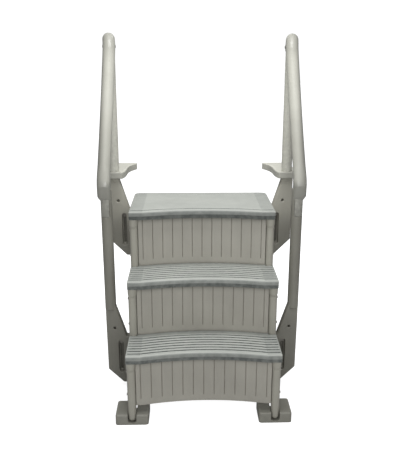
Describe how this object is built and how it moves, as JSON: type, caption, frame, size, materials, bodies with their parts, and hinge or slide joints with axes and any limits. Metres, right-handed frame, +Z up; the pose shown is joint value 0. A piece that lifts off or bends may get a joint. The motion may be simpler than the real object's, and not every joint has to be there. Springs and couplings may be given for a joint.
{
  "type": "pool ladder",
  "caption": "In-pool step ladder with wide hollow-fronted treads, grooved risers, pivoting feet and a height-adjustable deck-mounted handrail frame on each side.",
  "frame": {"origin": "on the floor under the feet, at the middle of the ladder's footprint: midway between the sides, and midway between the bottom tread's nosing and the back of the deck flanges", "axes": "+X to the right of someone facing the steps, +Y from the water towards the deck, +Z up"},
  "size_m": [1.09, 1.09, 1.8605],
  "materials": {
    "tread_plastic": "satin, finely speckled light grey-green",
    "riser_plastic": "satin, warm grey",
    "frame_plastic": "satin, warm grey",
    "rail_plastic": "soft sheen, light warm grey",
    "foot_plastic": "satin, warm grey",
    "nut_plastic": "black moulded nut",
    "stainless": "stainless steel"
  },
  "bodies": {
    "stair": {"bottom_riser": "riser_plastic", "bottom_tread": "tread_plastic", "brace_bolts": "stainless", "clamp_bolts": "stainless", "clamp_washers": "stainless", "foot_pins": "stainless", "left_stringer": "frame_plastic", "lower_rear_brace": "frame_plastic", "middle_riser": "riser_plastic", "middle_tread": "tread_plastic", "right_stringer": "frame_plastic", "riser_screws": "stainless", "top_riser": "riser_plastic", "top_tread": "tread_plastic", "tread_screws": "stainless", "upper_rear_brace": "frame_plastic"},
    "left_frame": {"left_front_leg": "frame_plastic", "left_rear_leg": "frame_plastic", "left_handrail": "rail_plastic", "left_rear_tube": "rail_plastic", "left_deck_flange": "rail_plastic", "left_rail_screws": "stainless", "left_top_joint_bolt": "stainless"},
    "right_frame": {"right_front_leg": "frame_plastic", "right_rear_leg": "frame_plastic", "right_handrail": "rail_plastic", "right_rear_tube": "rail_plastic", "right_deck_flange": "rail_plastic", "right_rail_screws": "stainless", "right_top_joint_bolt": "stainless"},
    "left_front_foot": {"left_front_foot": "foot_plastic"},
    "left_front_wing_nut": {"left_front_wing_nut": "nut_plastic"},
    "left_rear_foot": {"left_rear_foot": "foot_plastic"},
    "left_rear_wing_nut": {"left_rear_wing_nut": "nut_plastic"},
    "right_front_foot": {"right_front_foot": "foot_plastic"},
    "right_front_wing_nut": {"right_front_wing_nut": "nut_plastic"},
    "right_rear_foot": {"right_rear_foot": "foot_plastic"},
    "right_rear_wing_nut": {"right_rear_wing_nut": "nut_plastic"}
  },
  "joints": [
    {"name": "left_height_slide", "type": "slide", "parent": "stair", "child": "left_frame", "axis": [0, 0, 1], "range_m": [0, 0.16]},
    {"name": "right_height_slide", "type": "slide", "parent": "stair", "child": "right_frame", "axis": [0, 0, 1], "range_m": [0, 0.16]},
    {"name": "left_front_foot_pivot", "type": "hinge", "parent": "stair", "child": "left_front_foot", "pos_m": [-0.3545, -0.494, 0.034], "axis": [1, 0, 0], "range_deg": [-15, 15]},
    {"name": "left_rear_foot_pivot", "type": "hinge", "parent": "stair", "child": "left_rear_foot", "pos_m": [-0.3545, 0.291, 0.034], "axis": [1, 0, 0], "range_deg": [-15, 15]},
    {"name": "right_front_foot_pivot", "type": "hinge", "parent": "stair", "child": "right_front_foot", "pos_m": [0.3545, -0.494, 0.034], "axis": [1, 0, 0], "range_deg": [-15, 15]},
    {"name": "right_rear_foot_pivot", "type": "hinge", "parent": "stair", "child": "right_rear_foot", "pos_m": [0.3545, 0.291, 0.034], "axis": [1, 0, 0], "range_deg": [-15, 15]},
    {"name": "left_front_wing_nut_spin", "type": "hinge", "parent": "stair", "child": "left_front_wing_nut", "pos_m": [-0.4375, -0.077, 0.257], "axis": [0, 1, 0], "continuous": true},
    {"name": "left_rear_wing_nut_spin", "type": "hinge", "parent": "stair", "child": "left_rear_wing_nut", "pos_m": [-0.4375, 0.319, 0.861], "axis": [0, 1, 0], "continuous": true},
    {"name": "right_front_wing_nut_spin", "type": "hinge", "parent": "stair", "child": "right_front_wing_nut", "pos_m": [0.4375, -0.077, 0.257], "axis": [0, 1, 0], "continuous": true},
    {"name": "right_rear_wing_nut_spin", "type": "hinge", "parent": "stair", "child": "right_rear_wing_nut", "pos_m": [0.4375, 0.319, 0.861], "axis": [0, 1, 0], "continuous": true}
  ]
}
